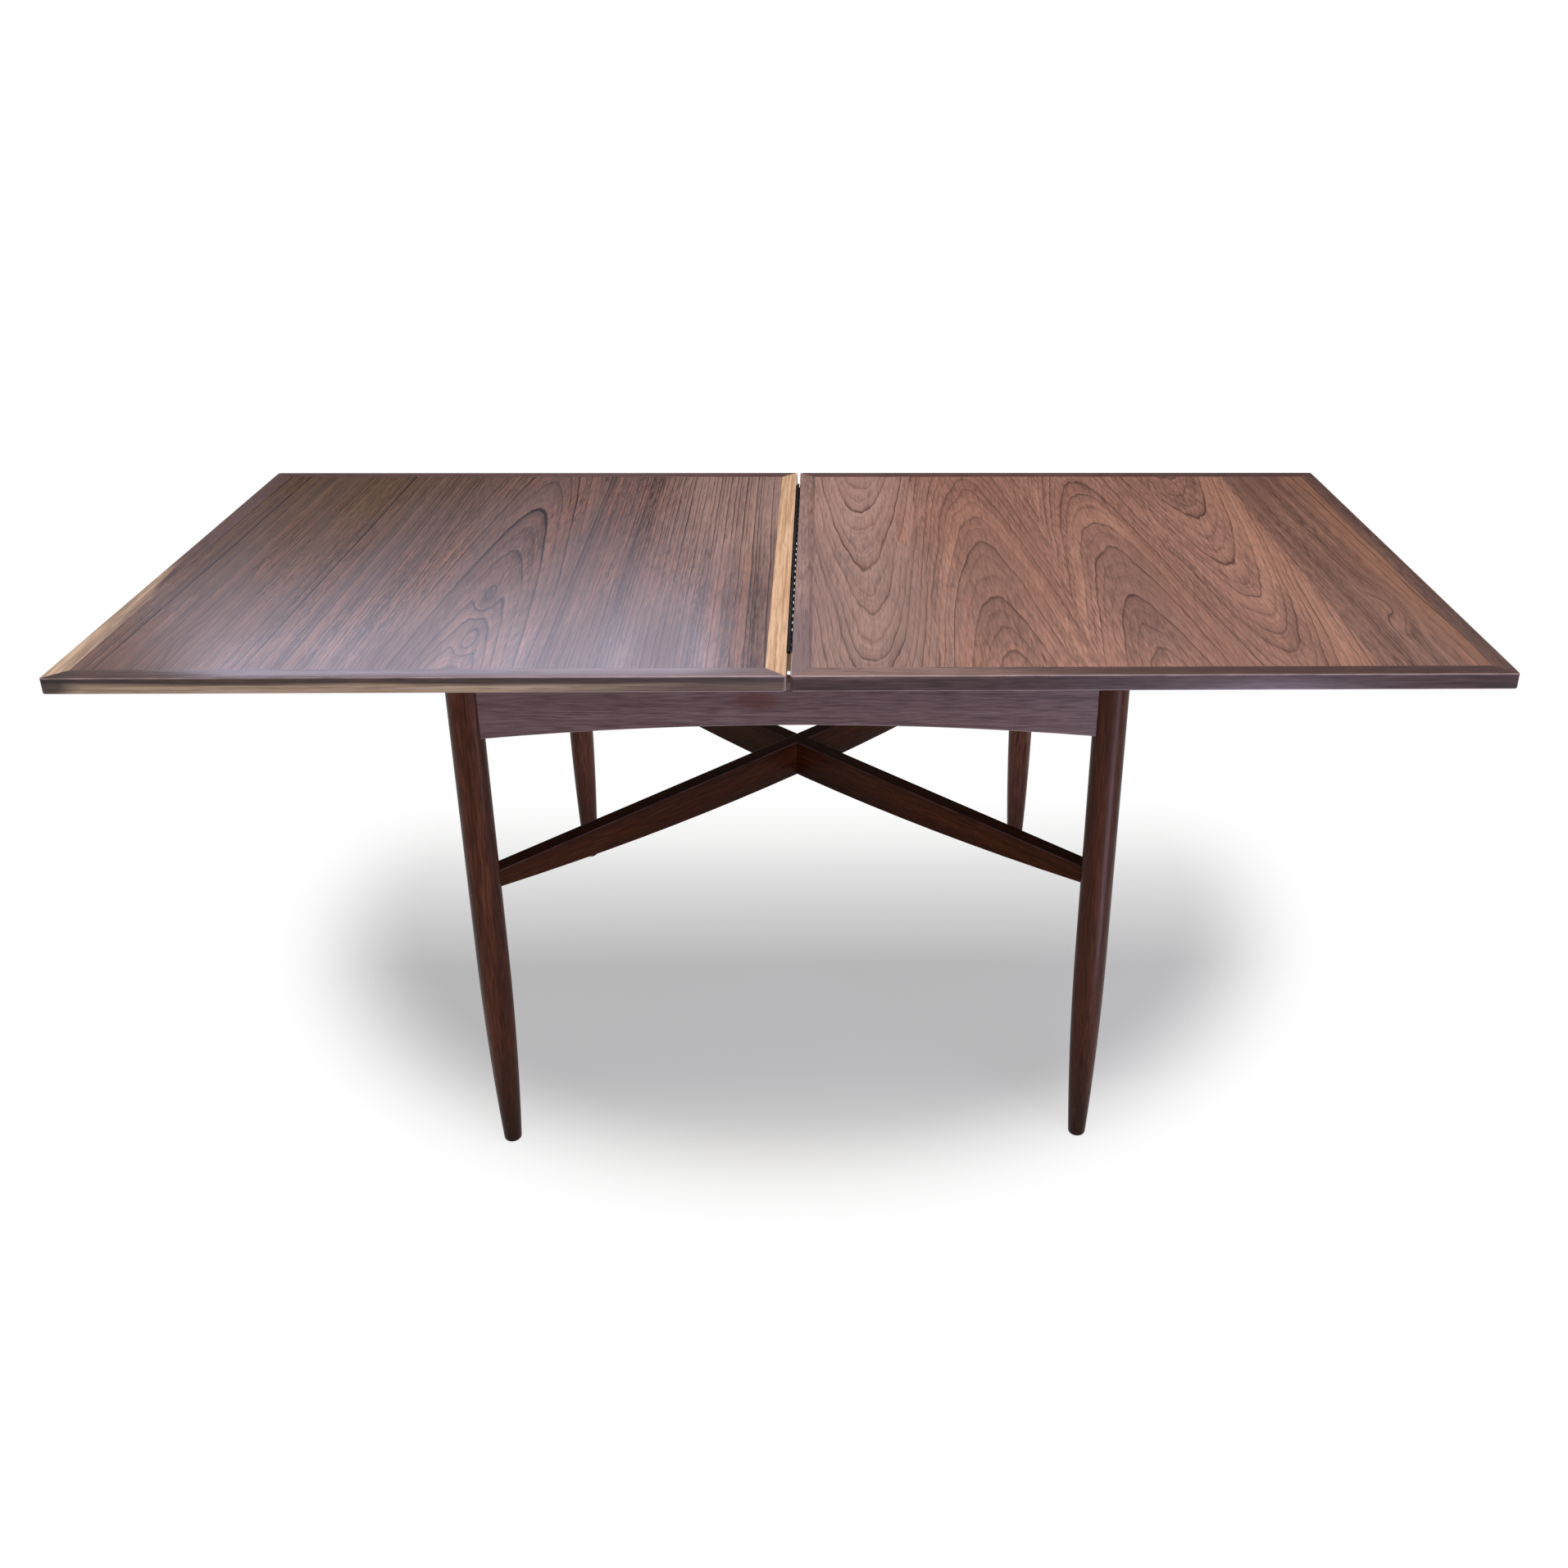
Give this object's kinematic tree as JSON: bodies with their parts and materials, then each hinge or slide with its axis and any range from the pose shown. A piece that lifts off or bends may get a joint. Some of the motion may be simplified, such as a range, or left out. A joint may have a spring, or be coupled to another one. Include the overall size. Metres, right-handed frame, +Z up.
{
  "type": "flip-top table",
  "caption": "Dining table with a folding square top that slides on rails and turns over on a long hinge, on turned tapering legs with arched aprons and crossed stretchers.",
  "frame": {"origin": "on the floor under the middle of the seam, which is the middle of the frame's four feet", "axes": "+X along the opened top towards the sliding leaf, +Y from the front to the rear, +Z up"},
  "size_m": [1.805, 0.9, 0.742],
  "materials": {
    "dark_walnut": "dark stained walnut, satin oil",
    "apron_walnut": "walnut, worn satin oil",
    "beech": "planed beech, unfinished",
    "screw_steel": "plain steel",
    "hinge_steel": "darkened steel",
    "core_board": "lumber core",
    "back_veneer": "walnut veneer, satin oil",
    "right_face_veneer": "figured walnut veneer, satin oil",
    "left_face_veneer": "straight-grained walnut veneer, faded satin oil",
    "sapwood_rail": "walnut with pale sapwood, satin oil",
    "walnut_rail": "dark walnut, satin oil"
  },
  "bodies": {
    "frame": {"apron_front": "apron_walnut", "apron_left": "apron_walnut", "apron_rear": "apron_walnut", "apron_right": "apron_walnut", "glue_block_front_left": "beech", "glue_block_front_right": "beech", "glue_block_rear_left": "beech", "glue_block_rear_right": "beech", "leg_front_left": "dark_walnut", "leg_front_right": "dark_walnut", "leg_rear_left": "dark_walnut", "leg_rear_right": "dark_walnut", "slide_rail_front": "beech", "slide_rail_rear": "beech", "stretcher_over": "dark_walnut", "stretcher_under": "dark_walnut"},
    "sliding_leaf": {"hinge_pin": "hinge_steel", "right_hinge_plate": "hinge_steel", "right_hinge_screws": "screw_steel", "right_leaf_back_veneer": "back_veneer", "right_leaf_core": "core_board", "right_leaf_face_veneer": "right_face_veneer", "right_leaf_rail_end": "walnut_rail", "right_leaf_rail_front": "walnut_rail", "right_leaf_rail_rear": "walnut_rail", "right_leaf_rail_seam": "walnut_rail", "slide_cleat_front": "beech", "slide_cleat_rear": "beech", "slide_cleat_screws": "screw_steel"},
    "flip_leaf": {"left_hinge_plate": "hinge_steel", "left_hinge_screws": "screw_steel", "left_leaf_back_veneer": "back_veneer", "left_leaf_core": "core_board", "left_leaf_face_veneer": "left_face_veneer", "left_leaf_rail_end": "sapwood_rail", "left_leaf_rail_front": "walnut_rail", "left_leaf_rail_rear": "walnut_rail", "left_leaf_rail_seam": "sapwood_rail"}
  },
  "joints": [
    {"name": "top_slide", "type": "slide", "parent": "frame", "child": "sliding_leaf", "axis": [1, 0, 0], "range_m": [-0.4525, 0]},
    {"name": "leaf_turn", "type": "hinge", "parent": "sliding_leaf", "child": "flip_leaf", "pos_m": [0, 0, 0.74025], "axis": [0, 1, 0], "range_deg": [0, 180]}
  ]
}
